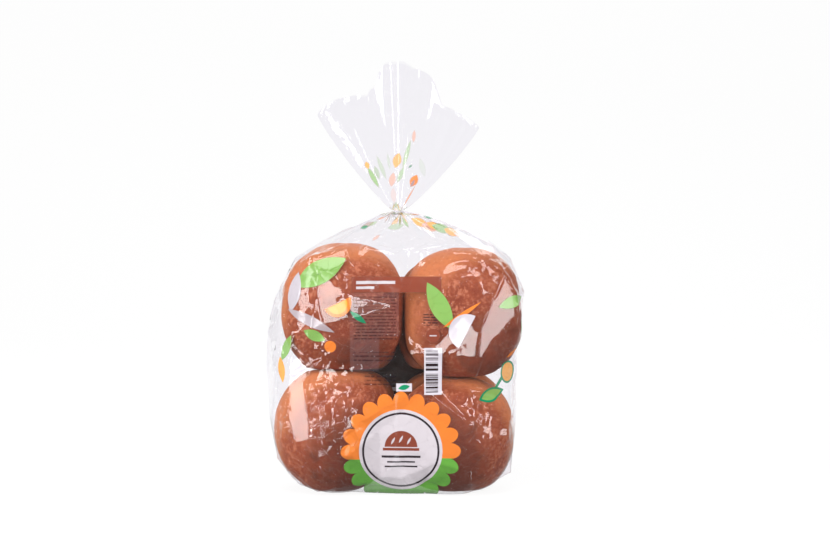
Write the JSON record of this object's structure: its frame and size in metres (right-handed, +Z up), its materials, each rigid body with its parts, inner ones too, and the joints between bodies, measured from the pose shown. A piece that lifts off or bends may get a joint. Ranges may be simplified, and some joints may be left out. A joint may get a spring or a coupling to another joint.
{
  "type": "bag of brown rolls",
  "caption": "Clear film bag of round brown bread rolls, drawn together at a banded neck, with its open end fanned out above.",
  "frame": {"origin": "under the middle of the bag's outer box, on the surface it stands on", "axes": "+Z up towards the neck and fan; the printed front faces -Y; +X is to the right seen from the front"},
  "size_m": [0.214, 0.1112, 0.3589],
  "materials": {
    "filled_bag": "clear glossy film drawn tight over brown bread rolls",
    "bag_film": "clear thin polypropylene film, glossy, finely creased, with a printed front",
    "roll_crust": "soft brown bread crust, satin on the dome and paler at the sides",
    "neck_band": "thin clear tape, satin"
  },
  "bodies": {
    "root": {"bag": "filled_bag", "neck_band": "neck_band"}
  },
  "joints": []
}
